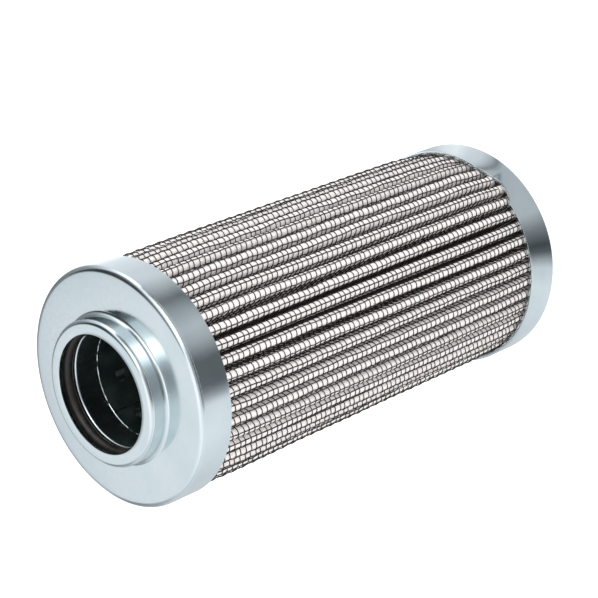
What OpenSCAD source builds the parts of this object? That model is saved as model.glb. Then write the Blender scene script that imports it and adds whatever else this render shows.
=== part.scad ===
// Pleated filter element for a hydraulic filter housing, in millimetres.
// It stands on its closed end cap: Z runs up the axis to the open cap, and Z = 0 is the outer
// face of the closed cap. All the pleated layers are parallel curves of one pleat.

/* [Element] */
// Diameter of both end caps
cap_d = 52; // [48:0.5:64]
// Length from the face of one end cap to the face of the other
body_len = 114; // [80:1:200]
// Thickness of the sheet that the caps and the neck sleeve are pressed from
sheet = 0.8; // [0.6:0.05:1]

/* [End caps] */
// Height of the skirt of the open cap
front_skirt = 8; // [6:0.2:14]
// Height of the skirt of the closed cap
rear_skirt = 9.2; // [9:0.2:16]
// Outer radius of the bend between face and skirt on the open cap
front_shoulder_r = 1.2; // [1.1:0.1:2]
// Outer radius of the bend between face and skirt on the closed cap
rear_shoulder_r = 1.8; // [1.1:0.1:2]
// Outer diameter of the ring bead that centres the core on the closed cap
bead_d = 26.2; // [20:0.2:26.2]
// Width of that bead between its two bends
bead_w = 1.4; // [0.5:0.1:3]
// Width of the notch that the damaged edge of the closed cap's skirt has
notch_w = 6.2; // [2:0.2:10]
// Depth of that notch, from the skirt's edge down
notch_h = 2; // [0.5:0.1:2.6]

/* [Neck] */
// Bore of the neck sleeve, which seats on the housing's spigot
bore_d = 25.2; // [22:0.2:27]
// Length of the neck sleeve below the cap's face
sleeve_len = 6; // [3:0.5:8]
// Height of the collar above the cap's face
collar_h = 4.2; // [4:0.1:8]
// Radius of the collar's outer edge
collar_edge_r = 1; // [1:0.1:1.6]
// Radius of the bend from the cap's face up into the collar
collar_foot_r = 0.9; // [0.3:0.1:1.6]
// Thickness of the O-ring's section
ring_d = 2.5; // [2:0.1:3]
// How far the O-ring stands in from the sleeve's bore
ring_squeeze = 0.18; // [0.05:0.01:0.25]
// How far the hole in the collar's lip stands out from the sleeve's bore
lip_gap = 0.2; // [0.1:0.05:0.6]

/* [Core] */
// Wall of the perforated support core
core_wall = 1; // [0.6:0.1:1.2]
// Diameter of a perforation
hole_d = 3.6; // [2:0.2:4.4]
// Perforations around the core
holes_around = 9; // [6:1:10]
// Height from one ring of perforations to the next, which is turned by half a pitch
hole_rise = 8; // [6:0.5:16]
// Width of the gap along the core where its rolled sheet meets
core_seam = 0.4; // [0.2:0.1:0.8]

/* [Pleats] */
// Number of pleats
pleats = 46; // [36:1:48]
// Thickness of the coated wire mesh on the outside
outer_mesh_t = 0.22; // [0.16:0.02:0.28]
// Thickness of the outer protective fleece
outer_fleece_t = 0.12; // [0.08:0.02:0.18]
// Thickness of the glass fibre media
media_t = 0.2; // [0.12:0.02:0.26]
// Thickness of the inner fleece
inner_fleece_t = 0.1; // [0.06:0.02:0.16]
// Thickness of the wire mesh on the inside
inner_mesh_t = 0.2; // [0.14:0.02:0.26]
// Pitch of the wires of the outer mesh, along and across
wire_pitch = 1.5; // [1.3:0.05:1.6]
// How far the wires along the crests stand out of the mesh wall
wire_rise = 0.12; // [0.06:0.02:0.16]
// Space left between two neighbouring crests
crest_gap = 0.8; // [0.3:0.05:1.1]
// Space left between two neighbouring roots
root_gap = 0.14; // [0.08:0.01:0.18]

/* [Potting] */
// Depth of the adhesive in each cap
potting_depth = 5.5; // [3:0.1:5.5]
// Adhesive between the cap's sheet and the ends of the pleats
potting_floor = 1; // [0.7:0.1:2]

/* [Hidden] */

// Clearances between pieces that are fitted together
flange_clear = 0.1;
ring_clear = 0.08;
ring_lift = 0.05;
sleeve_clear = 0.2;
bead_clear = 0.3;
pack_clear = 0.3;
skirt_clear = 0.1;

// Radii from the bore outwards, and the heights of the two cap faces
bore_r = bore_d / 2;
cap_r = cap_d / 2;
skirt_in_r = cap_r - sheet;
sleeve_out_r = bore_r + sheet;
core_in_r = sleeve_out_r + sleeve_clear;
core_out_r = core_in_r + core_wall;
collar_in_r = bore_r - ring_squeeze + ring_d + ring_clear;
collar_out_r = collar_in_r + sheet;
front_face = body_len;
front_inside = front_face - sheet;
rear_inside = sheet;

// Small inner radius of the sheet's tight bends
tight_r = 0.2;
bead_out_r = min(bead_d / 2, core_in_r - bead_clear - tight_r);
bead_rise = 2 * tight_r + sheet;

// One pleat: the pack's middle line is an arc at the crest, a straight flank and an arc at the
// root. Both arcs' radii come from the room that the pleats have at that radius.
pleat_step = 360 / pleats;
half_step = pleat_step / 2;
pleat_turn = -1.85;
stack_t = outer_mesh_t + outer_fleece_t + media_t + inner_fleece_t + inner_mesh_t;
pack_out_r = skirt_in_r - skirt_clear - wire_rise;
pack_in_r = core_out_r + pack_clear;
crest_out = (pack_out_r * sin(half_step) - crest_gap / 2) / (1 + sin(half_step));
root_in = (pack_in_r * sin(half_step) - root_gap / 2) / (1 - sin(half_step));
crest_r = crest_out - stack_t / 2;
root_r = root_in - stack_t / 2;
crest_at = [pack_out_r - crest_out, 0];
root_at = (pack_in_r + root_in) * [cos(half_step), sin(half_step)];
flank_run = root_at - crest_at;
flank_dir = atan2(flank_run.y, flank_run.x);
// Angle at which a crest's arc ends and its flank starts
crest_end = flank_dir - acos((crest_r + root_r) / norm(flank_run));
crest_steps = 6;
root_steps = 4;

// Offsets of the layers' surfaces from the pack's middle line, from the outside in
t_outer = stack_t / 2;
t_outer_fleece = t_outer - outer_mesh_t;
t_media = t_outer_fleece - outer_fleece_t;
t_inner_fleece = t_media - media_t;
t_inner_mesh = t_inner_fleece - inner_fleece_t;
t_inner = t_inner_mesh - inner_mesh_t;

pack_bottom = rear_inside + potting_floor;
pack_top = front_inside - potting_floor;
pack_h = pack_top - pack_bottom;

// Wires along a crest, as angles around the centre of its arc
wire_d = 2 * wire_rise;
wire_angle = wire_pitch / crest_out * 180 / PI;
window = wire_pitch - 0.5;
window_rows = 15;

// The ring of perforations that shows inside the neck lies this far below the cap's face
first_hole_depth = 12.9;
first_hole_turn = 80.5;
seam_turn = 110.5;
notch_turn = -62;

steel = [0.80, 0.84, 0.87];
dark_steel = [0.10, 0.13, 0.13];
coated_wire = [0.13, 0.12, 0.12];
bare_wire = [0.62, 0.64, 0.66];
fleece = [0.95, 0.93, 0.92];
adhesive = [0.06, 0.06, 0.06];

// Points along an arc, from angle a0 to angle a1
function arc(centre, r, a0, a1, steps) =
    [for (i = [0 : steps]) centre + r * [cos(a0 + (a1 - a0) * i / steps), sin(a0 + (a1 - a0) * i / steps)]];

function turned(p, a) = [p.x * cos(a) - p.y * sin(a), p.x * sin(a) + p.y * cos(a)];

// One pleat's points at the offset t from the pack's middle line, crest first and then root
function pleat_points(t) = concat(
    arc(crest_at, crest_r + t, -crest_end, crest_end, crest_steps),
    arc(root_at, root_r - t, crest_end + 180, pleat_step - crest_end + 180, root_steps));

// The closed pleated curve at the offset t
function pack_points(t) =
    [for (k = [0 : pleats - 1]) for (p = pleat_points(t)) turned(p, pleat_turn + k * pleat_step)];

// The wall between two parallel pleated curves
module pleated_layer(t_out, t_in) {
    difference() {
        polygon(pack_points(t_out));
        polygon(pack_points(t_in));
    }
}

module each_pleat() {
    for (k = [0 : pleats - 1]) rotate(pleat_turn + k * pleat_step) children();
}

// Places its children on the arc of a crest, at the angle a from the crest's top
module on_crest(a) {
    translate(crest_at) rotate(a) translate([crest_out, 0]) children();
}

// Three wires along each crest
module crest_wires() {
    each_pleat() for (a = [-wire_angle, 0, wire_angle]) on_crest(a) circle(d = wire_d, $fn = 16);
}

module standing_pack(t_out, t_in) {
    translate([0, 0, pack_bottom]) linear_extrude(pack_h) pleated_layer(t_out, t_in);
}

// A quarter bend of the sheet in the section plane; turn 0 joins a wall below to a face inside
module bend(at, inner_r, turn) {
    translate(at) rotate(turn) difference() {
        intersection() {
            circle(inner_r + sheet, $fn = 96);
            square(inner_r + sheet);
        }
        circle(inner_r, $fn = 96);
    }
}

// A flat run of the sheet from radius r0 to r1, with its lower side at height z
module flat_run(r0, r1, z) {
    translate([r0, z]) square([r1 - r0, sheet]);
}

// An upright run of the sheet from height z0 to z1, with its inner side at radius r
module upright_run(r, z0, z1) {
    translate([r, z0]) square([sheet, z1 - z0]);
}

module revolve() {
    rotate_extrude($fn = 180) children();
}

module front_end_cap() {
    skirt_bend = cap_r - front_shoulder_r;
    foot_bend = collar_out_r + collar_foot_r;
    edge_bend = collar_out_r - collar_edge_r;
    collar_top = front_face + collar_h;
    color(steel) revolve() {
        upright_run(skirt_in_r, front_face - front_skirt, front_face - front_shoulder_r);
        bend([skirt_bend, front_face - front_shoulder_r], front_shoulder_r - sheet, 0);
        flat_run(foot_bend, skirt_bend, front_inside);
        bend([foot_bend, front_face + collar_foot_r], collar_foot_r, 180);
        upright_run(collar_in_r, front_face + collar_foot_r, collar_top - collar_edge_r);
        bend([edge_bend, collar_top - collar_edge_r], collar_edge_r - sheet, 0);
        flat_run(bore_r + lip_gap, edge_bend, collar_top - sheet);
    }
}

module o_ring() {
    ring_at = [collar_in_r - ring_clear - ring_d / 2, front_face + ring_lift + ring_d / 2];
    color(adhesive) revolve() translate(ring_at) circle(d = ring_d, $fn = 48);
}

// The flanged sleeve stands in the core and closes the O-ring's groove from below
module neck_sleeve() {
    color(steel) revolve() {
        upright_run(bore_r, front_face - sleeve_len, front_inside - tight_r);
        bend_up();
        flat_run(sleeve_out_r + tight_r, collar_in_r - flange_clear, front_inside);
    }
}

// The bend from the sleeve's wall out into its flange
module bend_up() {
    bend([sleeve_out_r + tight_r, front_inside - tight_r], tight_r, 90);
}

module support_core() {
    first_row = front_face - first_hole_depth;
    rows = floor((first_row - rear_inside - potting_depth - hole_d) / hole_rise) + 1;
    pitch = 360 / holes_around;
    color(dark_steel) difference() {
        translate([0, 0, rear_inside]) cylinder(r = core_out_r, h = front_inside - rear_inside, $fn = 180);
        cylinder(r = core_in_r, h = front_face, $fn = 180);
        for (row = [0 : rows - 1], k = [0 : holes_around - 1])
            translate([0, 0, first_row - row * hole_rise])
                rotate(first_hole_turn + pitch * (k + (row % 2) / 2))
                    rotate([0, 90, 0]) cylinder(d = hole_d, h = core_out_r + 1, $fn = 32);
        rotate(seam_turn) translate([0, -core_seam / 2, 0]) cube([core_out_r + 1, core_seam, front_face]);
    }
}

module inner_wire_mesh() {
    color(bare_wire) standing_pack(t_inner_mesh, t_inner);
}

module inner_fleece() {
    color(fleece) standing_pack(t_inner_fleece, t_inner_mesh);
}

module filter_media() {
    color(fleece) standing_pack(t_media, t_inner_fleece);
}

module outer_fleece() {
    color(fleece) standing_pack(t_outer_fleece, t_media);
}

// The outline that the pack takes up at its outside, wires included
module outer_mesh_section() {
    pleated_layer(t_outer, t_outer_fleece);
    difference() {
        crest_wires();
        polygon(pack_points(t_outer_fleece));
    }
}

// Two openings of the mesh on each crest, between its three wires, one wire pitch higher from
// one crest to the next
module crest_windows() {
    for (k = [0 : pleats - 1], side = [-1, 1])
        rotate(pleat_turn + k * pleat_step)
            translate([0, 0, body_len / 2 + (k % window_rows - window_rows / 2) * wire_pitch * 4])
                on_crest(side * wire_angle / 2)
                    translate([-outer_mesh_t - 0.04, -window / 2, 0]) cube([1, window, window]);
}

module outer_wire_mesh() {
    color(coated_wire) difference() {
        translate([0, 0, pack_bottom]) linear_extrude(pack_h) outer_mesh_section();
        crest_windows();
    }
}

// The adhesive that joins the two ends of the pleated pack fills one valley at the back
module pleat_seam() {
    turn = pleat_turn + pleat_step * round((90 - pleat_turn) / pleat_step);
    near = pleat_points(t_outer);
    flank = [near[crest_steps], near[crest_steps + 1]];
    across = [for (p = flank) turned([p.x, -p.y], pleat_step)];
    bottom = rear_inside + potting_depth;
    color(adhesive) translate([0, 0, bottom]) linear_extrude(front_inside - potting_depth - bottom)
        rotate(turn) polygon([flank[0], flank[1], across[1], across[0]]);
}

// The adhesive around the ends of the pleats: a disc with a ring on it that the pack sinks into,
// rounded at its outer edge as the inner side of the cap's shoulder is
module potting(shoulder_in_r) {
    color(adhesive) difference() {
        union() {
            linear_extrude(potting_floor) potting_ring();
            translate([0, 0, potting_floor]) linear_extrude(potting_depth - potting_floor) difference() {
                potting_ring();
                pleated_layer(t_outer, t_inner);
                crest_wires();
            }
        }
        beyond_shoulder(shoulder_in_r);
    }
}

// What lies outside of a shoulder's inner side, from the cap's inner face up
module beyond_shoulder(r) {
    revolve() translate([skirt_in_r - r, 0]) difference() {
        translate([0, -1]) square([r + 1, r + 1]);
        translate([0, r]) circle(r, $fn = 96);
    }
}

module potting_ring() {
    difference() {
        circle(r = skirt_in_r, $fn = 180);
        circle(r = core_out_r, $fn = 180);
    }
}

module rear_potting() {
    translate([0, 0, rear_inside]) potting(rear_shoulder_r - sheet);
}

module front_potting() {
    translate([0, 0, front_inside]) mirror([0, 0, 1]) potting(front_shoulder_r - sheet);
}

module rear_end_cap() {
    skirt_bend = cap_r - rear_shoulder_r;
    out_bend = bead_out_r - sheet - tight_r;
    in_bend = out_bend - bead_w;
    bead_mid = tight_r + sheet;
    foot_in = in_bend - 2 * tight_r - sheet;
    foot_out = out_bend + 2 * tight_r + sheet;
    color(steel) difference() {
        revolve() {
            flat_run(0, foot_in, 0);
            bend([foot_in, bead_mid], tight_r, 270);
            bend([in_bend, bead_mid], tight_r, 90);
            flat_run(in_bend, out_bend, bead_rise);
            bend([out_bend, bead_mid], tight_r, 0);
            bend([foot_out, bead_mid], tight_r, 180);
            flat_run(foot_out, skirt_bend, 0);
            bend([skirt_bend, rear_shoulder_r], rear_shoulder_r - sheet, 270);
            upright_run(skirt_in_r, rear_shoulder_r, rear_skirt);
        }
        rotate(notch_turn) translate([cap_r / 2, -notch_w / 2, rear_skirt - notch_h])
            cube([cap_r, notch_w, notch_h + 1]);
    }
}

front_end_cap();
o_ring();
neck_sleeve();
support_core();
inner_wire_mesh();
inner_fleece();
filter_media();
outer_fleece();
outer_wire_mesh();
pleat_seam();
front_potting();
rear_potting();
rear_end_cap();
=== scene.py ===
# %% [markdown]
# # A pleated filter element
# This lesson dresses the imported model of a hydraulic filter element: two pressed steel end caps,
# a seal in a collar, and a pack of fleece and wire mesh that is folded into 46 pleats. The CAD
# model is loaded first, and it stays as it is: every piece that is modelled here takes its size
# and its place from it.

from cmath import rect
from math import acos, atan2, cos, hypot, pi, radians, sin

import bpy
import numpy as np
from mathutils import Matrix, Vector


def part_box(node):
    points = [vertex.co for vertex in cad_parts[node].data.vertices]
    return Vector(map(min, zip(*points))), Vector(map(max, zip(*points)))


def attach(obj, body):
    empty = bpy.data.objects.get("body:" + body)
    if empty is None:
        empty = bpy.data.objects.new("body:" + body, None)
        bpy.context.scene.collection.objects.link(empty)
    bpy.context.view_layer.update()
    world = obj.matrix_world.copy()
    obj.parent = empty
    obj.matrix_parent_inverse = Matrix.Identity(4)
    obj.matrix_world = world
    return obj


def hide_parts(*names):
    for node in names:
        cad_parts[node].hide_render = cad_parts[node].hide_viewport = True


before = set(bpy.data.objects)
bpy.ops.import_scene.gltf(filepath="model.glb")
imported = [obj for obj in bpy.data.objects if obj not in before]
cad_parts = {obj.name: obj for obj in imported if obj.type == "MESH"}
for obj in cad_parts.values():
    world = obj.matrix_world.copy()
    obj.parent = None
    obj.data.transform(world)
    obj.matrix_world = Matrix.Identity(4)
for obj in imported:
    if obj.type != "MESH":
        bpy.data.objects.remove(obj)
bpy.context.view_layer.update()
print("CAD nodes:", sorted(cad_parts))

# %% [markdown]
# ## Sizes
# The drawing is in millimetres and Blender is in metres, so each length is multiplied by MM once,
# where it goes into Blender. The heights of the caps are read from the CAD nodes. What the nodes'
# boxes don't give, such as the radius of a bend, repeats the value of the part's drawing.

# %% Sizes of the element
MM = 0.001
cap_low, cap_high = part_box("front_end_cap")
CAP_R = cap_high.x / MM
COLLAR_TOP = cap_high.z / MM
FRONT_EDGE = cap_low.z / MM
REAR_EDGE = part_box("rear_end_cap")[1].z / MM
SLEEVE_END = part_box("neck_sleeve")[0].z / MM
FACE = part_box("neck_sleeve")[1].z / MM
CORE_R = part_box("support_core")[1].x / MM
POTTING_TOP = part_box("rear_potting")[1].z / MM
POTTING_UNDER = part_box("front_potting")[0].z / MM
SHEET = 0.8
BORE_R = 12.6
COLLAR_R = 15.8
print(f"caps {2 * CAP_R:.1f} mm, face at {FACE:.1f} mm, collar to {COLLAR_TOP:.1f} mm")

# %% [markdown]
# ## The camera
# A photograph of a real thing is matched by its camera first, because every later comparison
# depends on it. This camera looks down at the standing element and is rolled, so that the element
# seems to lie on its side. Its place, direction and lens were worked out from the outlines of the
# caps.

# %% Place the camera
CAMERA_AT = Vector((0.006431, -0.325896, 0.349952))
CAMERA_RIGHT = Vector((-0.357869, -0.624782, -0.693967))
CAMERA_UP = Vector((0.933795, -0.23393, -0.270899))
CAMERA_FORWARD = Vector((-0.006912, 0.744982, -0.667105))
SENSOR_WIDTH, LENS = 36, 117.932

camera_data = bpy.data.cameras.new("camera")
camera_data.sensor_width = SENSOR_WIDTH
camera_data.lens = LENS
camera_data.clip_start = 0.01
camera_data.dof.use_dof = False
camera = bpy.data.objects.new("camera", camera_data)
bpy.context.scene.collection.objects.link(camera)
camera_turn = Matrix((CAMERA_RIGHT, CAMERA_UP, -CAMERA_FORWARD)).transposed().to_4x4()
camera.matrix_world = Matrix.Translation(CAMERA_AT) @ camera_turn
bpy.context.scene.camera = camera
print("camera at", [round(v, 3) for v in CAMERA_AT])

# %% [markdown]
# ## Drawing a line and spinning it
# Caps, sleeves and tubes are turned shapes: one section goes once around the axis. By hand, the
# section is drawn by extruding a single vertex from point to point, and Spin takes it around. The
# section goes down one side of the sheet and back up the other, so the spun shape is closed and
# has its real thickness, with no wall left to guess. The helpers below are these steps.

# %% Helpers that select and edit
def deselect_all():
    """Leaves edit mode and selects nothing."""
    if bpy.context.object and bpy.context.object.mode != "OBJECT":
        bpy.ops.object.mode_set(mode="OBJECT")
    bpy.ops.object.select_all(action="DESELECT")


def pick(piece):
    """Selects this piece and no other."""
    deselect_all()
    piece.select_set(True)
    bpy.context.view_layer.objects.active = piece


def edit_all(piece):
    """Opens the piece in edit mode, with all of it selected."""
    pick(piece)
    bpy.ops.object.mode_set(mode="EDIT")
    bpy.ops.mesh.select_all(action="SELECT")


def leave_edit():
    """Goes back to object mode."""
    bpy.ops.object.mode_set(mode="OBJECT")


def apply_place(piece):
    """Puts the piece's place, turn and size into its mesh, so that it sits at the origin."""
    pick(piece)
    bpy.ops.object.transform_apply(location=True, rotation=True, scale=True)


def add_modifier(piece, kind, **values):
    """Adds a modifier with these values and applies it."""
    modifier = piece.modifiers.new(kind.lower(), kind)
    for key, value in values.items():
        setattr(modifier, key, value)
    pick(piece)
    bpy.ops.object.modifier_apply(modifier=modifier.name)


def duplicate(piece):
    """A copy with its own mesh."""
    copy = piece.copy()
    copy.data = piece.data.copy()
    bpy.context.scene.collection.objects.link(copy)
    return copy


def join(pieces):
    """Joins the pieces into one."""
    pick(pieces[0])
    for piece in pieces:
        piece.select_set(True)
    bpy.ops.object.join()
    return bpy.context.object


def points_of(piece):
    """The places of the piece's vertices in millimetres, one in each row."""
    co = np.empty(len(piece.data.vertices) * 3)
    piece.data.vertices.foreach_get("co", co)
    return co.reshape(-1, 3) / MM


def move_points(piece, co):
    """Moves the piece's vertices to these places in millimetres."""
    piece.data.vertices.foreach_set("co", (co * MM).ravel())
    piece.data.update()


def report(piece):
    """Prints how many triangles the piece has and where it is."""
    co = points_of(piece)
    triangles = sum(len(face.vertices) - 2 for face in piece.data.polygons)
    low, high = co.min(axis=0).round(2).tolist(), co.max(axis=0).round(2).tolist()
    print(f"{piece.name}: {triangles} triangles, from {low} to {high} mm")


# %% Helpers that draw, spin and finish
DOUBLE = 0.002  # millimetres that two vertices may be apart and still count as one
CUT_EDGE = 50  # degrees from which an edge counts as a cut one, which gets a bevel
SHEET_BEND = 40  # degrees up to which an edge of a pressed sheet is shaded round


def arc(centre, radius, start, end, steps):
    """Points of an arc in the drawing plane, from one angle to another, in degrees."""
    angles = [radians(start + (end - start) * i / steps) for i in range(steps + 1)]
    return [(centre[0] + radius * cos(a), centre[1] + radius * sin(a)) for a in angles]


def draw_line(name, points):
    """Extrudes one vertex through points, in millimetres, and returns the line's object."""
    deselect_all()
    bpy.ops.mesh.primitive_plane_add(size=MM, location=Vector(points[0]) * MM)
    line = bpy.context.object
    line.name = name
    edit_all(line)
    bpy.ops.mesh.merge(type="CENTER")
    for before, after in zip(points, points[1:]):
        step = (Vector(after) - Vector(before)) * MM
        bpy.ops.mesh.extrude_region_move(TRANSFORM_OT_translate={"value": step})
    leave_edit()
    apply_place(line)
    return line


def tidy_mesh(piece):
    """Merges doubled vertices and turns the faces outwards."""
    edit_all(piece)
    bpy.ops.mesh.remove_doubles(threshold=DOUBLE * MM)
    bpy.ops.mesh.normals_make_consistent(inside=False)
    leave_edit()


def spin_section(name, outside, inside, steps=192):
    """Spins the closed section between two sides of a sheet around the axis."""
    section = [(r, 0, z) for r, z in outside + inside[::-1]]
    if section[0][0] > 0:
        section.append(section[0])
    piece = draw_line(name, section)
    edit_all(piece)
    bpy.ops.mesh.spin(steps=steps, angle=2 * pi, center=(0, 0, 0), axis=(0, 0, 1))
    leave_edit()
    tidy_mesh(piece)
    return piece


def smooth_up_to(piece, degrees):
    """Shades the piece round, except across edges that bend by more than this."""
    pick(piece)
    bpy.ops.object.shade_smooth_by_angle(angle=radians(degrees))


def soften_edges(piece, width):
    """Breaks the cut edges, and shades flat runs flat and bends round."""
    limit = {"limit_method": "ANGLE", "angle_limit": radians(CUT_EDGE)}
    add_modifier(piece, "BEVEL", width=width * MM, segments=2, **limit)
    smooth_up_to(piece, SHEET_BEND)
    add_modifier(piece, "WEIGHTED_NORMAL", keep_sharp=True, weight=90)


# %% [markdown]
# ## The open end cap
# The cap is pressed from one sheet: a short skirt, a rounded shoulder, a flat face, and a collar
# that turns in at its top and makes a lip over the seal. Each bend keeps one centre for both sides
# of the sheet, so the sheet stays equally thick around it. Small bevels on the two cut edges catch
# the light as a real burr-free cut does.

# %% Open end cap
SHOULDER_RUN, SHOULDER_DROP = 1.4, 1.1
COLLAR_EDGE_R = 1.0
COLLAR_FOOT_R = 0.9
LIP_R = BORE_R + 0.2
CAP_BEVEL = 0.14


def front_cap_side(t):
    """One side of the open cap's sheet, at the depth t from its outer side."""
    edge = (COLLAR_R - COLLAR_EDGE_R, COLLAR_TOP - COLLAR_EDGE_R)
    foot = (COLLAR_R + COLLAR_FOOT_R, FACE + COLLAR_FOOT_R)
    shoulder = (CAP_R - SHOULDER_RUN, FACE - SHOULDER_DROP)
    side = [(LIP_R, COLLAR_TOP - t), (LIP_R + 1, COLLAR_TOP - t)]
    side += arc(edge, COLLAR_EDGE_R - t, 90, 0, 8)
    side += arc(foot, COLLAR_FOOT_R + t, 180, 270, 8)
    side += [(foot[0] + 1.2, FACE - t), (shoulder[0] - 1, FACE - t)]
    for r, z in arc((0, 0), 1, 90, 0, 10):
        side.append((shoulder[0] + r * (SHOULDER_RUN - t), shoulder[1] + z * (SHOULDER_DROP - t)))
    side += [(CAP_R - t, FACE - 3.5), (CAP_R - t, FRONT_EDGE + 1), (CAP_R - t, FRONT_EDGE)]
    return side


open_cap = spin_section("open_cap", front_cap_side(0), front_cap_side(SHEET))
soften_edges(open_cap, CAP_BEVEL)
report(open_cap)

# %% [markdown]
# ## The closed end cap
# The other cap has no neck. Its skirt is higher and its shoulder is rounder, and a ring bead in
# its face centres the core. The real one has a dent in the skirt's edge: the edge is pushed back
# over a few millimetres and curls in. A dent is easiest by hand, as a soft push of the vertices
# near that spot, and the skirt has extra rings of vertices there to follow it.

# %% Closed end cap
REAR_SHOULDER_R = 1.8
BEAD_FROM, BEAD_TO = 9.5, 13.3
BEAD_FOOT_R, BEAD_CREST_R = 1.0, 0.2
SKIRT_RINGS = (3, 4, 5, 6, 6.8, 7.6, 8.4, REAR_EDGE)


def rear_cap_side(t):
    """One side of the closed cap's sheet, at the depth t from its outer side."""
    shoulder = (CAP_R - REAR_SHOULDER_R, REAR_SHOULDER_R)
    wall = BEAD_FOOT_R + BEAD_CREST_R
    side = [(0, t), (4, t), (BEAD_FROM - 1, t)]
    side += arc((BEAD_FROM, BEAD_FOOT_R), BEAD_FOOT_R - t, 270, 360, 6)
    side += arc((BEAD_FROM + wall, BEAD_FOOT_R), BEAD_CREST_R + t, 180, 90, 5)
    side += arc((BEAD_TO - wall, BEAD_FOOT_R), BEAD_CREST_R + t, 90, 0, 5)
    side += arc((BEAD_TO, BEAD_FOOT_R), BEAD_FOOT_R - t, 180, 270, 6)
    side += [(BEAD_TO + 1.2, t), (shoulder[0] - 1, t)]
    side += arc(shoulder, REAR_SHOULDER_R - t, 270, 360, 9)
    side += [(CAP_R - t, z) for z in SKIRT_RINGS]
    return side


closed_cap = spin_section("closed_cap", rear_cap_side(0), rear_cap_side(SHEET), steps=432)
soften_edges(closed_cap, CAP_BEVEL)

# %% Dent in the closed cap's skirt
DENT_TURN, DENT_LOWEST_TURN = -57, -62
DENT_HALF_WIDTH = 14
DENT_STARTS_AT = 3
DENT_IN, DENT_DOWN = 1.15, 2.4


def push_dent(piece):
    """Pushes the skirt's edge in to a crease, and back towards the face."""
    for vertex in piece.data.vertices:
        x, y, z = vertex.co / MM
        r, angle = hypot(x, y), atan2(y, x)
        off = abs(np.degrees(angle) - DENT_TURN) / DENT_HALF_WIDTH
        low = abs(np.degrees(angle) - DENT_LOWEST_TURN) / DENT_HALF_WIDTH
        if r < CAP_R - 2 or z < 2:
            continue
        along = min(1, max(0, (z - DENT_STARTS_AT) / (REAR_EDGE - DENT_STARTS_AT)))
        r -= DENT_IN * max(0, 1 - off) ** 1.8 * along**1.3
        z -= DENT_DOWN * max(0, 1 - low * low) * along
        vertex.co = Vector((r * cos(angle), r * sin(angle), z)) * MM


push_dent(closed_cap)
report(closed_cap)

# %% [markdown]
# ## The neck sleeve and the seal
# Behind the lip stands a flanged sleeve that closes the seal's groove from below. Its rounded
# front edge shows in the neck as a thin bright ring, and so does the burr that the shears left
# on its inner end. The seal is a plain O-ring: a torus with the fine parting line of its mould.

# %% Neck sleeve
FLANGE_R = COLLAR_R - SHEET - 0.1
BORE_BEND, BACK_BEND = 0.5, 0.1
BURR = 0.09
SHEARED_LEAST, SHEARED_MOST = 0.6, 2.1


def sleeve_side(t):
    """One side of the sleeve's sheet, at the depth t from its bore."""
    bend = BORE_BEND if t == 0 else BACK_BEND
    side = [(BORE_R + t, SLEEVE_END + z) for z in (0, BURR, 1.5)]
    side += arc((BORE_R + t + bend, FACE - t - bend), bend, 180, 90, 8)
    side += [(FLANGE_R, FACE - t)]
    return side


sleeve = spin_section("sleeve", sleeve_side(0), sleeve_side(SHEET), steps=216)
sheared = np.random.default_rng(5)
for vertex in sleeve.data.vertices:
    r, z = hypot(vertex.co.x, vertex.co.y) / MM, vertex.co.z / MM
    if r < BORE_R + 0.1 and z < SLEEVE_END + 0.02:
        burr = 1 - sheared.uniform(SHEARED_LEAST, SHEARED_MOST) * BURR / r
        vertex.co.x, vertex.co.y = vertex.co.x * burr, vertex.co.y * burr
soften_edges(sleeve, 0.03)
report(sleeve)

# %% O-ring
RING_R = 1.25
RING_AT = (BORE_R - 0.18 + RING_R, FACE + 0.05 + RING_R)
PARTING_LINE = 0.03
deselect_all()
bpy.ops.mesh.primitive_torus_add(
    major_radius=RING_AT[0] * MM,
    minor_radius=RING_R * MM,
    major_segments=144,
    minor_segments=28,
    location=(0, 0, RING_AT[1] * MM),
)
seal = bpy.context.object
seal.name = "seal"
apply_place(seal)
bpy.ops.object.mode_set(mode="EDIT")
bpy.ops.mesh.select_mode(type="VERT")
bpy.ops.mesh.select_all(action="DESELECT")
leave_edit()
for vertex in seal.data.vertices:
    vertex.select = abs(vertex.co.z / MM - RING_AT[1]) < 0.02
bpy.ops.object.mode_set(mode="EDIT")
bpy.ops.transform.shrink_fatten(value=PARTING_LINE * MM)
leave_edit()
bpy.ops.object.shade_smooth()
report(seal)

# %% [markdown]
# ## The support core
# The core is a tube that is rolled from perforated sheet, with a butt seam along it. Looking down
# the neck, one perforation and the seam show on its dark inner side. One punch is modelled, copied
# to every place and taken out of the tube with a Boolean.

# %% Support core
CORE_IN_R = CORE_R - 1
HOLE_R = 1.8
HOLES_AROUND, HOLE_ROWS, HOLE_RISE = 9, 12, 8
FIRST_HOLE_TURN, FIRST_ROW_Z = 80.5, FACE - 12.9
CORE_SEAM, CORE_SEAM_TURN = 0.4, 110.5
core_bore = [(CORE_IN_R, FACE - SHEET), (CORE_IN_R, SHEET)]
core_outside = [(CORE_R, FACE - SHEET), (CORE_R, SHEET)]
core = spin_section("core", core_bore, core_outside, steps=144)

deselect_all()
bpy.ops.mesh.primitive_cylinder_add(
    vertices=20,
    radius=HOLE_R * MM,
    depth=4 * MM,
    location=(CORE_R * MM, 0, 0),
    rotation=(0, pi / 2, 0),
)
punch = bpy.context.object
apply_place(punch)
punches = []
for row in range(HOLE_ROWS):
    for k in range(HOLES_AROUND):
        angle = radians(FIRST_HOLE_TURN + 360 / HOLES_AROUND * (k + (row % 2) / 2))
        lift = Matrix.Translation((0, 0, (FIRST_ROW_Z - HOLE_RISE * row) * MM))
        punches.append(duplicate(punch))
        punches[-1].data.transform(lift @ Matrix.Rotation(angle, 4, "Z"))
bpy.data.objects.remove(punch)

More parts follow.
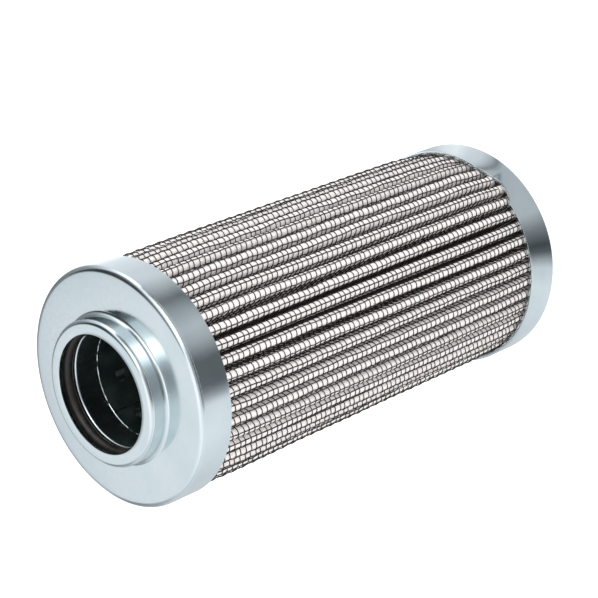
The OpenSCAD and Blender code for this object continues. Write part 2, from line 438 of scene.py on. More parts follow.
# %% Seam of the core, and the cut
deselect_all()
bpy.ops.mesh.primitive_cube_add(size=MM, location=(CORE_R * MM, 0, FACE / 2 * MM))
gap = bpy.context.object
bpy.ops.transform.resize(value=(5, CORE_SEAM, 2 * FACE))
apply_place(gap)
gap.data.transform(Matrix.Rotation(radians(CORE_SEAM_TURN), 4, "Z"))
cutter = join(punches + [gap])
add_modifier(core, "BOOLEAN", operation="DIFFERENCE", object=cutter, solver="EXACT")
bpy.data.objects.remove(cutter)
smooth_up_to(core, 35)
report(core)

# %% [markdown]
# ## One pleat
# Everything in the pack follows one curve: an arc over the crest, a straight flank, and an arc
# round the root. The two arcs fit between their neighbours, so their radii come from the number of
# pleats and from the gaps that are left between them. A layer or a wire at the distance d outside
# of the pack's middle line has the same centres, with d added to the crest's radius and taken off
# the root's. The pleat is drawn once, and an Array goes around the axis with it.

# %% The pleated line
PLEATS = 46
STEP = 360 / PLEATS
HALF_STEP = radians(STEP / 2)
NEXT_PLEAT = rect(1, 2 * HALF_STEP)
PLEAT_TURN = -1.85
PACK_R = 24.98
ROOT_R = CORE_R + 0.3
CREST_HALF_GAP, ROOT_HALF_GAP = 0.4, 0.07
STACK = 0.84
MESH_LAYER = 0.22
FLEECE_OUT = STACK / 2 - MESH_LAYER
crest_out = (PACK_R * sin(HALF_STEP) - CREST_HALF_GAP) / (1 + sin(HALF_STEP))
root_in = (ROOT_R * sin(HALF_STEP) - ROOT_HALF_GAP) / (1 - sin(HALF_STEP))
CREST_RADIUS = crest_out - STACK / 2
ROOT_RADIUS = root_in - STACK / 2
CREST_AT = (PACK_R - crest_out, 0)
ROOT_AT = ((ROOT_R + root_in) * cos(HALF_STEP), (ROOT_R + root_in) * sin(HALF_STEP))
run = (ROOT_AT[0] - CREST_AT[0], ROOT_AT[1] - CREST_AT[1])
CREST_END = np.degrees(atan2(run[1], run[0]) - acos((CREST_RADIUS + ROOT_RADIUS) / hypot(*run)))
print(f"crest radius {CREST_RADIUS:.2f} mm, root radius {ROOT_RADIUS:.2f} mm")
print(f"the crest's arc ends at {CREST_END:.1f} degrees")


def straight(start, end, steps):
    """Points from start to end in equal steps, without the first one."""
    start, end = np.array(start), np.array(end)
    return [tuple(start + (end - start) * i / steps) for i in range(1, steps + 1)]


def pleat_points(d, crest_steps, flank_steps, root_steps):
    """One pleat at the distance d outside of the middle line, from its first flank to the next."""
    crest = arc(CREST_AT, CREST_RADIUS + d, -CREST_END, CREST_END, crest_steps)
    root = arc(ROOT_AT, ROOT_RADIUS - d, CREST_END + 180, STEP - CREST_END + 180, root_steps)
    next_start = complex(*crest[0]) * NEXT_PLEAT
    flank = straight(crest[-1], root[0], flank_steps)[:-1]
    back = straight(root[-1], (next_start.real, next_start.imag), flank_steps)
    return crest + flank + root + back


def draw_pleats(name, d, z, crest_steps=8, flank_steps=2, root_steps=3):
    """The closed pleated line at the distance d and the height z."""
    points = [(x, y, z) for x, y in pleat_points(d, crest_steps, flank_steps, root_steps)]
    line = draw_line(name, points)
    line.data.transform(Matrix.Rotation(radians(PLEAT_TURN), 4, "Z"))
    turner = bpy.data.objects.new("turner", None)
    bpy.context.scene.collection.objects.link(turner)
    turner.rotation_euler.z = radians(STEP)
    bpy.context.view_layer.update()
    add_modifier(
        line,
        "ARRAY",
        count=PLEATS,
        use_relative_offset=False,
        use_object_offset=True,
        offset_object=turner,
        use_merge_vertices=True,
        use_merge_vertices_cap=True,
        merge_threshold=0.01 * MM,
    )
    bpy.data.objects.remove(turner)
    return line


# %% [markdown]
# ## How the pack settles
# A real pack is never as straight as its drawing. Between the caps the pleats bow out, most of all
# near the closed end, and each crest sways a little to one side, so some valleys are wide and some
# are nearly shut. The caps hold the ends still. The same settling moves every layer and every
# wire, so they stay on each other. It is a move of the vertices, with a fixed seed.

# %% Settling
dice = np.random.RandomState(11)
SWAY = dice.uniform(-1, 1, (PLEATS, 4))
SWAY_PHASE = dice.uniform(0, 2 * pi, (PLEATS, 4))
SWAY_WAVES = ((0.16, 210), (0.11, 95), (0.05, 41), (0.03, 23))  # amount and length of each wave
LIFT_WAVES = ((0.05, 160), (0.04, 60))
HELD_NEAR_CAP = 14
# Heights, and how far the pack bows out there on its upper and its lower side in the picture
BOW_Z = [0, REAR_EDGE - 0.6, 12, 16, 19, 39, 49, 57, 64, 74, 89, 94, 98, 102, FRONT_EDGE + 0.6, 120]
BOW_UP = [0, 0.02, 0.55, 0.84, 0.86, 0.84, 0.8, 0.78, 0.66, 0.56, 0.5, 0.44, 0.36, 0.24, 0.03, 0]
BOW_DOWN = [0, 0.02, 0.15, 0.22, 0.22, 0.22, 0.2, 0.28, 0.24, 0.2, 0.4, 0.42, 0.38, 0.26, 0.03, 0]


def waves(shape, pleat, z, amounts):
    """The sum of each pleat's own waves along the axis."""
    return sum(
        SWAY[pleat, i] * amount * shape(2 * pi * z / length + SWAY_PHASE[pleat, i])
        for i, (amount, length) in enumerate(amounts)
    )


def settle(co):
    """Where the settled pack has the points co, in millimetres."""
    x, y, z = co.T
    r, angle = np.hypot(x, y), np.degrees(np.arctan2(y, x))
    pleat = np.round((angle - PLEAT_TURN) / STEP).astype(int) % PLEATS
    free = np.clip((r - ROOT_R) / (PACK_R - ROOT_R), 0, 1.1)
    from_rear = np.clip((z - REAR_EDGE + 1) / HELD_NEAR_CAP, 0, 1)
    from_front = np.clip((FRONT_EDGE + 1 - z) / HELD_NEAR_CAP, 0, 1)
    loose = from_rear * from_front
    loose = loose * loose * (3 - 2 * loose)
    up = (1 + x / np.maximum(r, 1)) / 2
    bow = up * np.interp(z, BOW_Z, BOW_UP) + (1 - up) * np.interp(z, BOW_Z, BOW_DOWN)
    r = r + (bow + loose * waves(np.cos, pleat, z, LIFT_WAVES)) * free
    sway = loose * waves(np.sin, pleat, z, SWAY_WAVES)
    turn = np.radians(angle) + sway * free / np.maximum(r, 1)
    return np.column_stack([r * np.cos(turn), r * np.sin(turn), z])


def settle_piece(piece):
    """Settles a piece of the pack."""
    move_points(piece, settle(points_of(piece)))


print(f"the pack bows out by up to {max(BOW_UP)} mm")

# %% [markdown]
# ## The layers
# From the outside in, the pack has a protective fleece, the glass fibre media, a second fleece and
# a plain wire mesh. Each is one pleated line that is extruded upwards in steps, settled, and given
# its thickness with Solidify. Only the outer fleece shows, so it has the finest steps.

# %% Layers of the pack
PACK_BOTTOM, PACK_TOP = 1.8, 112.2
FLEECE, MEDIA, INNER_FLEECE, INNER_MESH = 0.12, 0.2, 0.1, 0.2
FINE_LEVELS, LEVELS = 28, 14


def raise_shape(piece, height, levels):
    """Extrudes the whole piece upwards in equal steps."""
    edit_all(piece)
    step = (0, 0, height / levels * MM)
    for _ in range(levels):
        bpy.ops.mesh.extrude_region_move(TRANSFORM_OT_translate={"value": step})
    leave_edit()


def pleated_layer(name, d, thickness, levels=LEVELS, crest_steps=6):
    """A settled layer with its outer side at the distance d."""
    layer = draw_pleats(name, d, PACK_BOTTOM, crest_steps=crest_steps)
    raise_shape(layer, PACK_TOP - PACK_BOTTOM, levels)
    tidy_mesh(layer)
    settle_piece(layer)
    crest = max(layer.data.polygons, key=lambda face: hypot(face.center.x, face.center.y))
    if crest.normal.xy.dot(crest.center.xy) < 0:
        layer.data.flip_normals()
    add_modifier(layer, "SOLIDIFY", thickness=thickness * MM, offset=-1, use_even_offset=True)
    smooth_up_to(layer, 50)
    report(layer)
    return layer


MEDIA_OUT = FLEECE_OUT - FLEECE
INNER_OUT = MEDIA_OUT - MEDIA
outer_fleece = pleated_layer("outer_fleece_sheet", FLEECE_OUT, FLEECE, FINE_LEVELS, crest_steps=10)
media = pleated_layer("media_sheet", MEDIA_OUT, MEDIA)
inner_fleece = pleated_layer("inner_fleece_sheet", INNER_OUT, INNER_FLEECE)
inner_mesh = pleated_layer("inner_mesh_sheet", INNER_OUT - INNER_FLEECE, INNER_MESH)

# %% [markdown]
# ## The ring wires of the outer mesh
# The mesh is the busiest part of the object, so it is made of real wires. Half of them run around
# the pack and follow every pleat. One ring is drawn, gets a round section as a curve does, and is
# copied up the pack at the mesh's pitch. A woven mesh that has been folded is uneven: each copy is
# moved and tilted a little. The rings go into two objects, to keep each of them light.

# %% Ring wires
WIRE_R = 0.12
PITCH = 1.5
RING_OUT = FLEECE_OUT + 0.11
LOWEST_RING, HIGHEST_RING = REAR_EDGE - 1.2, FRONT_EDGE + 1.3
RING_PLAY, RING_TILT = 0.13, 0.005


def to_wire(line):
    """Gives a line of edges a round section."""
    pick(line)
    bpy.ops.object.convert(target="CURVE")
    wire = bpy.context.object
    wire.data.dimensions = "3D"
    wire.data.fill_mode = "FULL"
    wire.data.bevel_depth = WIRE_R * MM
    wire.data.bevel_resolution = 0
    wire.data.use_fill_caps = True
    bpy.ops.object.convert(target="MESH")
    return bpy.context.object


def settled_copy(wire, change):
    """A copy of the wire that is changed first and then settles with the pack."""
    copy = duplicate(wire)
    move_points(copy, settle(change(points_of(copy))))
    return copy


def bundle(name, wires):
    """Makes many wires one piece."""
    piece = join(wires)
    piece.name = name
    bpy.ops.object.shade_smooth()
    report(piece)
    return piece


def ring_at(height, tilt):
    """A copy of the ring wire at this height, tilted by so much towards X and Y."""

    def change(co):
        level = np.zeros(len(co))
        return co + np.column_stack([level, level, height + co[:, :2] @ tilt])

    return settled_copy(ring, change)


ring = to_wire(draw_pleats("ring_wire", RING_OUT, 0, crest_steps=6, flank_steps=2, root_steps=2))
print("one ring wire has", len(ring.data.polygons), "faces")
heights = np.arange(LOWEST_RING, HIGHEST_RING, PITCH)
heights = heights + dice.uniform(-RING_PLAY, RING_PLAY, len(heights))
tilts = dice.uniform(-RING_TILT, RING_TILT, (len(heights), 2))
rings = [ring_at(height, tilt) for height, tilt in zip(heights, tilts)]
middle_ring = len(rings) // 2
lower_rings = bundle("lower_ring_wires", rings[:middle_ring])
upper_rings = bundle("upper_ring_wires", rings[middle_ring:])
bpy.data.objects.remove(ring)

# %% [markdown]
# ## The wires along the crests
# The other half of the mesh runs along the pack. Their pitch is counted along the folded line, so
# they meet each crest at another place. Each one passes over a ring, then under the next. Wires
# that lie deep in a valley can't be seen and would only cost time, so they are left out below the
# upper half of the flanks. One wire is modelled, and each copy wanders a little.

# %% One axial wire, and the places for it
OVER, UNDER = 0.25, 0.05
WIRE_BOTTOM, WIRE_TOP = REAR_EDGE - 2.4, FRONT_EDGE + 2.4
SEEN_DEPTH = 5
crossings = int((WIRE_TOP - WIRE_BOTTOM) / PITCH) + 1
weave = [(OVER if i % 2 else UNDER, 0, WIRE_BOTTOM + i * PITCH) for i in range(crossings)]
axial = to_wire(draw_line("axial_wire", weave))

outline = np.array([complex(*point) for point in pleat_points(FLEECE_OUT, 12, 2, 3)[:-1]])
turns = np.exp(1j * np.radians(PLEAT_TURN + STEP * np.arange(PLEATS)))
outline = np.concatenate([outline * t for t in turns])
along = np.concatenate([[0], np.cumsum(np.abs(np.diff(np.append(outline, outline[0]))))])
count = int(round(along[-1] / PITCH))
places = []
for i in range(count):
    s = along[-1] * i / count
    k = np.searchsorted(along, s, side="right") - 1
    a, b = outline[k], outline[(k + 1) % len(outline)]
    at = a + (b - a) * (s - along[k]) / abs(b - a)
    if abs(at) > PACK_R - SEEN_DEPTH:
        places.append((i, at, (b - a) / abs(b - a) * -1j))
print(len(places), "axial wires of", count, "in the whole mesh")

# %% Axial wires
WANDER = 0.14
WANDER_LENGTHS = (120, 37, 11)


def along_pack(i, at, out):
    """Stands a copy of the wire on the pack, with its weave and its wander."""
    drift = dice.uniform(-WANDER, WANDER, 3)
    phase = dice.uniform(0, 2 * pi, 3)

    def change(co):
        z = co[:, 2] + (PITCH if i % 2 else 0)
        side = sum(
            drift[j] * np.sin(2 * pi * z / length + phase[j])
            for j, length in enumerate(WANDER_LENGTHS)
        )
        spot = at + out * co[:, 0] + 1j * out * (co[:, 1] + side)
        return np.column_stack([spot.real, spot.imag, z])

    return settled_copy(axial, change)


wires = [along_pack(*place) for place in places]
thirds = [wires[i * len(wires) // 3 : (i + 1) * len(wires) // 3] for i in range(3)]
axial_wires = [bundle(f"axial_wires_{i + 1}", third) for i, third in enumerate(thirds)]
bpy.data.objects.remove(axial)

# %% [markdown]
# ## The seam of the pack
# The pack is folded from a flat stack, so its two ends meet somewhere. There they are glued, in
# one valley at the back. The adhesive is a bead between the two flanks: a closed line that is
# raised in steps, capped and settled with the pleats.

# %% Seam adhesive
SEAM_TURN = 90
BELLY = 0.985
CREST_STEPS, FLANK_STEPS = 6, 4
flank = pleat_points(FLEECE_OUT + 0.2, CREST_STEPS, FLANK_STEPS, 3)
high_side = complex(*flank[CREST_STEPS])
low_side = complex(*flank[CREST_STEPS + FLANK_STEPS - 1])
high_across, low_across = (p.conjugate() * NEXT_PLEAT for p in (high_side, low_side))
belly = (high_side + high_across) / 2 * BELLY
corners = [low_side, high_side, belly, high_across, low_across, low_side]
seam_pleat = round((SEAM_TURN - PLEAT_TURN) / STEP)
corners = [p * rect(1, radians(PLEAT_TURN + seam_pleat * STEP)) for p in corners]
seam = draw_line("seam_adhesive", [(p.real, p.imag, POTTING_TOP) for p in corners])
tidy_mesh(seam)
edit_all(seam)
bpy.ops.mesh.edge_face_add()
leave_edit()
raise_shape(seam, POTTING_UNDER - POTTING_TOP, FINE_LEVELS)
tidy_mesh(seam)
settle_piece(seam)
smooth_up_to(seam, 35)
report(seam)

# %% [markdown]
# ## Finishes
# Every finish is made of nodes that read the piece's own coordinates, so it keeps its scale and
# stays in place in any view. The helper starts a material with a Principled shader and sets the
# values that are the same all over. The coordinates are in metres, so a noise with a feature of
# one millimetre has a scale of about 1000.

# %% Helpers for nodes
def set_values(node, values):
    """Sets sockets by their names, with _ for a space, and everything else as a property."""
    for key, value in values.items():
        socket = key.replace("_", " ")
        if socket in node.inputs:
            node.inputs[socket].default_value = value
        else:
            setattr(node, key, value)
    return node


def add_node(tree, kind, **values):
    """Adds a node with these values."""
    return set_values(tree.nodes.new(kind), values)


def maths(tree, operation, *values):
    """The result of a Math node on sockets and numbers."""
    node = add_node(tree, "ShaderNodeMath", operation=operation)
    for slot, value in zip(node.inputs, values):
        if isinstance(value, (int, float)):
            slot.default_value = value
        else:
            tree.links.new(value, slot)
    return node.outputs["Value"]


def ramp(tree, factor, *stops):
    """A colour ramp with its stops as (position, colour)."""
    node = add_node(tree, "ShaderNodeValToRGB")
    for i, (position, colour) in enumerate((stops[0], stops[-1])):
        node.color_ramp.elements[i].position = position
        node.color_ramp.elements[i].color = (*colour, 1)
    for position, colour in stops[1:-1]:
        node.color_ramp.elements.new(position).color = (*colour, 1)
    tree.links.new(factor, node.inputs["Fac"])
    return node.outputs["Color"]


# %% Helpers for a finish
def new_finish(name, **values):
    """A material with a Principled shader, and the values that are the same all over it."""
    finish = bpy.data.materials.new(name)
    finish.use_nodes = True
    tree = finish.node_tree
    print("finish:", name)
    return finish, tree, set_values(tree.nodes["Principled BSDF"], values)


def object_noise(tree, scale, detail=4, stretch=(1, 1, 1)):
    """A noise in the piece's own coordinates, stretched along an axis where wanted."""
    place = add_node(tree, "ShaderNodeTexCoord")
    mapping = add_node(tree, "ShaderNodeMapping", Scale=stretch)
    noise = add_node(tree, "ShaderNodeTexNoise", Scale=scale, Detail=detail)
    tree.links.new(place.outputs["Object"], mapping.inputs["Vector"])
    tree.links.new(mapping.outputs["Vector"], noise.inputs["Vector"])
    return noise.outputs["Fac"]


def spread(tree, factor, low, high):
    """Maps a noise's usual range onto low to high."""
    node = add_node(tree, "ShaderNodeMapRange", From_Min=0.3, From_Max=0.7, To_Min=low, To_Max=high)
    tree.links.new(factor, node.inputs["Value"])
    return node.outputs["Result"]


def paint(tree, shader, factor, *stops):
    """Colours the finish with a ramp."""
    tree.links.new(ramp(tree, factor, *stops), shader.inputs["Base Color"])


def roughen(tree, shader, factor, low, high):
    """Lets the roughness wander between two values."""
    tree.links.new(spread(tree, factor, low, high), shader.inputs["Roughness"])


def bump(tree, shader, height, distance):
    """Raises the surface by the distance, in millimetres, where the height is 1."""
    node = add_node(tree, "ShaderNodeBump", Distance=distance * MM, Strength=1.0)
    tree.links.new(height, node.inputs["Height"])
    tree.links.new(node.outputs["Normal"], shader.inputs["Normal"])


# %% [markdown]
# ### Zinc plate
# Bright zinc is a pale, slightly blue metal. It is almost a mirror, but the pressing and the bath
# leave soft clouds in its gloss and faint draw marks along the skirt, so its roughness varies at
# two scales and its colour a little. The sleeve has the same plate on a wall that was drawn
# deeper, which leaves it duller, so it gets a rougher version from the same helper.

# %% Zinc plate
def zinc_plate(name, gloss, draw_marks):
    """Zinc with its roughness between two values, and more where the draw marks are."""
    plate, tree, shader = new_finish(name, Metallic=1.0)
    clouds = object_noise(tree, 130, detail=3)
    paint(tree, shader, clouds, (0.3, (0.60, 0.67, 0.69)), (0.7, (0.67, 0.725, 0.735)))
    marks = object_noise(tree, 1500, detail=3, stretch=(1, 1, 0.15))
    dull = maths(tree, "ADD", spread(tree, clouds, *gloss), spread(tree, marks, 0.0, draw_marks))
    tree.links.new(dull, shader.inputs["Roughness"])
    bump(tree, shader, marks, 0.0015)
    return plate


zinc = zinc_plate("zinc_plate", (0.08, 0.16), 0.07)
drawn_zinc = zinc_plate("drawn_zinc_plate", (0.18, 0.23), 0.03)

# %% [markdown]
# ### Core steel
# The core is plain dark steel with a film of oil. It is only seen from inside, through the neck,
# where little light falls.

# %% Core steel
core_steel, tree, shader = new_finish("core_steel", Metallic=0.75)
patches = object_noise(tree, 260, detail=4)
paint(tree, shader, patches, (0.3, (0.035, 0.060, 0.057)), (0.7, (0.080, 0.115, 0.108)))
roughen(tree, shader, patches, 0.28, 0.5)
bump(tree, shader, object_noise(tree, 2500), 0.006)

# %% [markdown]
# ### Fleece and media
# The fleece is a mat of fine white fibres: matte, warm, and slightly cloudy where it is thicker.
# Two crossed, stretched noises make the fibres, and they also drive its bump. The media under it
# is the same kind of mat, only denser and a little colder in colour.

# %% Fleece and media
def fibre_mat(name, dark, light, fibre):
    """A mat of fibres that is dark between them and light on them."""
    mat, tree, shader = new_finish(name, Roughness=0.95, Specular_IOR_Level=0.15)
    upright = object_noise(tree, fibre, detail=3, stretch=(1, 1, 0.18))
    level = object_noise(tree, fibre, detail=3, stretch=(0.3, 0.3, 1))
    fibres = maths(tree, "MAXIMUM", upright, level)
    paint(tree, shader, fibres, (0.35, dark), (0.65, light))
    bump(tree, shader, fibres, 0.03)
    return mat


fleece = fibre_mat("fleece", (0.80, 0.76, 0.74), (0.90, 0.87, 0.855), 3200)
media_mat = fibre_mat("glass_fibre_media", (0.74, 0.74, 0.72), (0.86, 0.86, 0.84), 5200)

# %% [markdown]
# ### Coated wire and plain wire
# The outer wires have a black coating that is worn a little browner and glossier in places. The
# plain inner mesh is one sheet here, so bands in its finish stand for its rows of wires.

# %% Coated wire and plain wire
coating, tree, shader = new_finish("black_coated_wire", Specular_IOR_Level=0.3)
worn = object_noise(tree, 420, detail=3)
paint(tree, shader, worn, (0.35, (0.016, 0.014, 0.014)), (0.75, (0.040, 0.035, 0.033)))
roughen(tree, shader, worn, 0.62, 0.45)

plain_wire, tree, shader = new_finish("plain_wire_mesh", Metallic=1.0, Roughness=0.35)
rows = add_node(tree, "ShaderNodeTexWave", Scale=1 / (PITCH * MM), bands_direction="Z")
place = add_node(tree, "ShaderNodeTexCoord")
tree.links.new(place.outputs["Object"], rows.inputs["Vector"])
rows = rows.outputs["Fac"]
paint(tree, shader, rows, (0.2, (0.10, 0.11, 0.11)), (0.7, (0.52, 0.54, 0.55)))
bump(tree, shader, rows, 0.08)

# %% [markdown]
# ### Rubber and adhesive
# The seal is black nitrile rubber with a thin film of oil, so its broad highlight is soft and
# slightly brown. The adhesive has cured hard and dark, with small pits and a slow swell.

# %% Rubber and adhesive
rubber, tree, shader = new_finish("seal_rubber", Specular_IOR_Level=0.36)
film = object_noise(tree, 500, detail=3)
paint(tree, shader, film, (0.3, (0.010, 0.009, 0.008)), (0.7, (0.024, 0.020, 0.018)))
roughen(tree, shader, film, 0.28, 0.42)
bump(tree, shader, object_noise(tree, 4000), 0.004)

adhesive, tree, shader = new_finish("cured_adhesive")
swell = object_noise(tree, 700, detail=5)
paint(tree, shader, swell, (0.3, (0.012, 0.012, 0.013)), (0.7, (0.035, 0.033, 0.032)))
roughen(tree, shader, swell, 0.22, 0.45)
bump(tree, shader, swell, 0.12)

# %% [markdown]
# ## Dress and attach
# Each piece gets its finish, hides the CAD nodes that it stands for, and rides on the one body of
# the model. The two potting discs are hidden deep in the caps and their CAD shape is right, so
# they stay and only get the adhesive's finish.

# %% Dress and attach
def dress(piece, finish, slot, *nodes):
    """Gives the piece its finish and puts it in the place of the CAD nodes; the slot is not used.
    """
    piece.data.materials.clear()
    piece.data.materials.append(finish)
    if nodes:
        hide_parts(*nodes)
    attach(piece, "root")


dress(open_cap, zinc, "plated_steel", "front_end_cap")
dress(closed_cap, zinc, "plated_steel", "rear_end_cap")
dress(sleeve, drawn_zinc, "plated_steel", "neck_sleeve")
dress(seal, rubber, "seal_rubber", "o_ring")
dress(core, core_steel, "core_steel", "support_core")
dress(outer_fleece, fleece, "fleece", "outer_fleece")
dress(media, media_mat, "fleece", "filter_media")
dress(inner_fleece, fleece, "fleece", "inner_fleece")
dress(inner_mesh, plain_wire, "bare_wire", "inner_wire_mesh")
dress(lower_rings, coating, "coated_wire", "outer_wire_mesh")
dress(upper_rings, coating, "coated_wire")
for piece in axial_wires:
    dress(piece, coating, "coated_wire")
dress(seam, adhesive, "adhesive", "pleat_seam")
for name in ("front_potting", "rear_potting"):
    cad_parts[name].data.materials.clear()
    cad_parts[name].data.materials.append(adhesive)
print("all pieces ride on root")

# %% [markdown]
# ## Floor and world
# The floor is plain and pale. Seen by the camera it is white, and it keeps a soft shadow. What the
# metal mirrors makes or breaks it, so the floor also shows white to mirror rays. The world is
# white in the same way, and a soft even light for all other rays.

# %% Helpers for what is seen
def empty_tree(owner):
    """The node tree of a material or a world, with nothing in it."""
    owner.use_nodes = True
    owner.node_tree.nodes.clear()
    return owner.node_tree


def finish_by_ray(tree, kind, lit, seen):
    """Ends the tree: lit is its part for plain light, seen for the camera, mirrors and glass."""
    rays = add_node(tree, "ShaderNodeLightPath").outputs
    looked_at = maths(tree, "MAXIMUM", rays["Is Camera Ray"], rays["Is Glossy Ray"])
    looked_at = maths(tree, "MAXIMUM", looked_at, rays["Is Transmission Ray"])
    choose = add_node(tree, "ShaderNodeMixShader")
    out = add_node(tree, kind)
    tree.links.new(looked_at, choose.inputs["Fac"])
    tree.links.new(lit, choose.inputs[1])
    tree.links.new(seen, choose.inputs[2])
    tree.links.new(choose.outputs["Shader"], out.inputs["Surface"])


# %% Floor
FLOOR_R = 3
deselect_all()
bpy.ops.mesh.primitive_circle_add(
    vertices=96, radius=FLOOR_R, fill_type="NGON", location=(0, 0, -0.0002)
)
floor = bpy.context.object
floor.name = "floor"
floor_finish = bpy.data.materials.new("pale_floor")
tree = empty_tree(floor_finish)
matte = add_node(tree, "ShaderNodeBsdfDiffuse", Color=(0.9, 0.9, 0.9, 1)).outputs["BSDF"]
glow = add_node(tree, "ShaderNodeEmission", Color=(1, 1, 1, 1), Strength=0.62)
both = add_node(tree, "ShaderNodeAddShader")
tree.links.new(matte, both.inputs[0])
tree.links.new(glow.outputs["Emission"], both.inputs[1])
finish_by_ray(tree, "ShaderNodeOutputMaterial", lit=matte, seen=both.outputs["Shader"])
floor.data.materials.append(floor_finish)
print("floor of", FLOOR_R, "m radius")

# %% World
world = bpy.data.worlds.new("studio")
bpy.context.scene.world = world
tree = empty_tree(world)
white = add_node(tree, "ShaderNodeBackground", Color=(1, 1, 1, 1), Strength=1.0)
soft = add_node(tree, "ShaderNodeBackground", Color=(1, 0.99, 0.98, 1), Strength=0.8)
white, soft = white.outputs["Background"], soft.outputs["Background"]
finish_by_ray(tree, "ShaderNodeOutputWorld", lit=soft, seen=white)
print("world:", world.name)

# %% [markdown]
# ## What the metal mirrors
# Zinc plate has next to no colour of its own: what it shows is what stands around it. In the
# picture each skirt mirrors a pale table, a bright wall and a dark strip between them. Here a drum
# and a tray around the element, and a dome over it, are the things to mirror. Only mirror rays see
# them, so they neither show nor shade anything. A skirt mirrors a ray that has dropped towards the
# floor, so a small sum finds the place on the drum, or on the tray, that each part of the skirt
# mirrors for this camera's height. That place gets the strength that is wanted there.

# %% Helpers for the mirrored surroundings
DRUM_R = 60
GLOW = 2.0


def mirrored_spot(a, z, floor=False):
    """The share of a turn that the skirt mirrors at the height z, a degrees from +X to -Y."""
    spot = rect(CAP_R, radians(-a))
    seen = spot - complex(CAMERA_AT.x, CAMERA_AT.y) / MM
    way = -seen.conjugate() * (spot / CAP_R) ** 2 / abs(seen)
    if floor:
        spot += way * z * abs(seen) / (CAMERA_AT.z / MM - z)
    else:
        inward = (spot * way.conjugate()).real
        spot += way * (-inward + (inward**2 + DRUM_R**2 - CAP_R**2) ** 0.5)
    return share_of_turn(np.degrees(atan2(spot.imag, spot.real)))


def share_of_turn(degrees):
    """An angle as a share of a turn, from 0 to 1."""
    return (degrees / 360) % 1


def grey(strength):
    """A bluish grey: the darker the strip, the bluer it is."""
    cool = max(0, 1 - strength)
    return (strength * (1 - 0.06 * cool), strength * (1 + 0.02 * cool), strength * (1 + 0.1 * cool))


def glow_around(tree, share, stops):
    """A ramp around the axis, with its stops as (share of a turn, strength)."""
    stops = sorted(stops, key=lambda stop: stop[0])
    return ramp(tree, share, *[(position, grey(strength / GLOW)) for position, strength in stops])


def glowing(name, stops):
    """A glow that changes around the axis, and the sockets that the dome goes on from."""
    finish = bpy.data.materials.new(name)
    tree = empty_tree(finish)
    place = add_node(tree, "ShaderNodeTexCoord")
    axes = add_node(tree, "ShaderNodeSeparateXYZ")
    glow = add_node(tree, "ShaderNodeEmission", Strength=GLOW)
    out = add_node(tree, "ShaderNodeOutputMaterial")
    tree.links.new(place.outputs["Object"], axes.inputs["Vector"])
    angle = maths(tree, "ARCTAN2", axes.outputs["Y"], axes.outputs["X"])
    share = maths(tree, "FRACT", maths(tree, "DIVIDE", angle, 2 * pi))
    around = glow_around(tree, share, stops)
    tree.links.new(around, glow.inputs["Color"])
    tree.links.new(glow.outputs["Emission"], out.inputs["Surface"])
    return finish, {"around": around, "share": share, "z": axes.outputs["Z"], "glow": glow}


def mirror_only(piece, name, finish):
    """Names and dresses a piece of the surroundings, and hides it from all but mirror rays."""
    piece.name = name
    piece.data.materials.append(finish)
    for kind in ("camera", "diffuse", "transmission", "volume_scatter", "shadow"):
        setattr(piece, "visible_" + kind, False)
    print(name, "is in place")


# %% Drum
# What the open cap's skirt mirrors, as (degrees from +X to -Y, strength)
FRONT_SKIRT_MIRRORS = [
    (12, 1.5), (20, 1.1), (32, 0.95), (45, 0.88), (54, 0.5), (60, 0.18), (67, 0.45), (76, 0.66),
    (83, 0.5), (91, 0.15), (103, 0.16), (107, 0.4), (111, 0.98), (124, 1.05), (140, 0.93),
    (156, 0.76), (170, 0.66),
]
FRONT_SKIRT_Z = 109
BACK_OF_DRUM = [(0.2, 0.62), (0.32, 0.62)]
DRUM_LOW, DRUM_HIGH = 2, 104
deselect_all()
bpy.ops.mesh.primitive_cylinder_add(
    vertices=128,
    radius=DRUM_R * MM,
    depth=(DRUM_HIGH - DRUM_LOW) * MM,
    end_fill_type="NOTHING",
    location=(0, 0, (DRUM_LOW + DRUM_HIGH) / 2 * MM),
)
drum = bpy.context.object
apply_place(drum)
stops = [(mirrored_spot(a, FRONT_SKIRT_Z), strength) for a, strength in FRONT_SKIRT_MIRRORS]
mirror_only(drum, "mirror_drum", glowing("drum_glow", stops + BACK_OF_DRUM)[0])

# %% Tray
# What the closed cap's skirt mirrors, in the same way
REAR_SKIRT_MIRRORS = [
    (12, 0.7), (20, 0.95), (28, 1.1), (36, 0.9), (44, 0.84), (49, 0.6), (53, 0.3), (57, 0.6),
    (76, 0.62), (84, 0.6), (92, 0.28), (101, 0.08), (105, 0.15), (113, 0.85), (124, 1.0),
    (140, 0.93), (156, 0.8), (170, 0.66),
]
REAR_SKIRT_Z = 5
TRAY_Z = 0.2
deselect_all()
bpy.ops.mesh.primitive_circle_add(
    vertices=128, radius=DRUM_R * MM, fill_type="NGON", location=(0, 0, TRAY_Z * MM)
)
tray = bpy.context.object
apply_place(tray)
stops = [(mirrored_spot(a, REAR_SKIRT_Z, True), strength) for a, strength in REAR_SKIRT_MIRRORS]
mirror_only(tray, "mirror_tray", glowing("tray_glow", stops)[0])

# %% [markdown]
# The dome is what the upward bends mirror: the shoulder, the collar and its foot. It has three
# zones that blend into each other. The low one carries on what the drum shows, the middle one is
# a dark wall with a bright window next to it, and the high one is nearly plain. The flat face
# mirrors the plain part at the back.

# %% Dome
DOME_R = 0.25
DOME_CUT = -0.05
DOME_MIDDLE_Z = 0.114
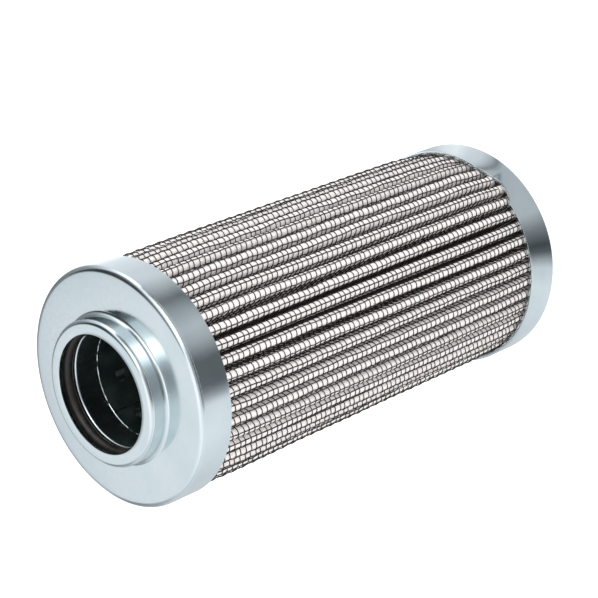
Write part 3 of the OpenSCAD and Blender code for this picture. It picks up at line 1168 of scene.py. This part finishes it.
# The zones, as (degrees from +X to +Y, strength)
MIDDLE = [
    (-180, 1.3), (-142, 1.1), (-126, 0.7), (-110, 0.4), (-94, 0.4), (-80, 0.8), (-58, 3.2),
    (-46, 3.2), (-38, 1.8), (-30, 1.25), (-14, 1.1), (0, 0.75), (14, 0.2), (34, 0.05), (64, 0.05),
    (77, 0.8), (84, 1.05), (120, 1.0), (170, 1.2),
]
LOW = [(88 - 2 * a, strength) for a, strength in FRONT_SKIRT_MIRRORS if a > 50]
LOW += [
    (-16, 1.6), (-4, 2.0), (6, 1.4), (14, 1.0), (24, 0.8), (38, 0.4), (64, 0.25), (110, 0.3),
    (130, 0.5),
]
HIGH = [(-25, 1.35), (0, 0.5), (20, 0.25), (60, 0.25), (85, 1.0), (110, 1.35)]
# Where the low and the high zone begin and have taken over, as shares of the dome's radius
LOW_FROM, LOW_TO = 0.54, 0.44
HIGH_FROM, HIGH_TO = 0.82, 0.92
deselect_all()
bpy.ops.mesh.primitive_uv_sphere_add(segments=128, ring_count=64, radius=DOME_R)
dome = bpy.context.object
edit_all(dome)
bpy.ops.mesh.bisect(plane_co=(0, 0, DOME_CUT), plane_no=(0, 0, 1), clear_inner=True)
leave_edit()
dome.location.z = DOME_MIDDLE_Z
dome_glow, parts = glowing("dome_glow", [(share_of_turn(a), strength) for a, strength in MIDDLE])
tree = dome_glow.node_tree
height = maths(tree, "DIVIDE", parts["z"], DOME_R)
colour = parts["around"]
for zone, start, end in ((LOW, LOW_FROM, LOW_TO), (HIGH, HIGH_FROM, HIGH_TO)):
    zone = [(share_of_turn(a), strength) for a, strength in zone]
    amount = add_node(tree, "ShaderNodeMapRange", From_Min=start, From_Max=end)
    blend = add_node(tree, "ShaderNodeMixRGB")
    tree.links.new(height, amount.inputs["Value"])
    tree.links.new(amount.outputs["Result"], blend.inputs["Fac"])
    tree.links.new(colour, blend.inputs["Color1"])
    tree.links.new(glow_around(tree, parts["share"], zone), blend.inputs["Color2"])
    colour = blend.outputs["Color"]
tree.links.new(colour, parts["glow"].inputs["Color"])
mirror_only(dome, "mirror_dome", dome_glow)

# %% [markdown]
# ## Lamps
# The key lamp stands on the side that is up in the picture, a second lamp near the camera, and a
# weak one low on the other side, so that the lower pleats keep their form. Two faint lamps without
# shadows lift the deep valleys a little, as the many white walls of a studio do.

# %% Lamps
LAMPS_AIM = Vector((0, 0, 0.06))


def soft_lamp(name, place, size, power, casts_shadow=True):
    """A round lamp at this place that points at the middle of the element."""
    data = bpy.data.lights.new(name, "AREA")
    data.shape = "DISK"
    data.size = size
    data.energy = power
    data.use_shadow = casts_shadow
    lamp = bpy.data.objects.new(name, data)
    bpy.context.scene.collection.objects.link(lamp)
    lamp.location = place
    lamp.rotation_euler = (LAMPS_AIM - Vector(place)).to_track_quat("-Z", "Y").to_euler()
    print(name, power, "W")


soft_lamp("key_lamp", (0.45, -0.25, 0.40), size=0.35, power=0.9)
soft_lamp("front_lamp", (-0.03, -0.52, 0.42), size=0.25, power=0.48)
soft_lamp("low_lamp", (-0.40, -0.42, 0.22), size=0.45, power=0.4)
soft_lamp("fill_lamp", (0.38, -0.36, 0.36), size=0.3, power=0.32, casts_shadow=False)
soft_lamp("fill_lamp", (-0.38, -0.36, 0.36), size=0.3, power=0.35, casts_shadow=False)

# %% Finish with the standard view transform
bpy.context.scene.view_settings.view_transform = "Standard"
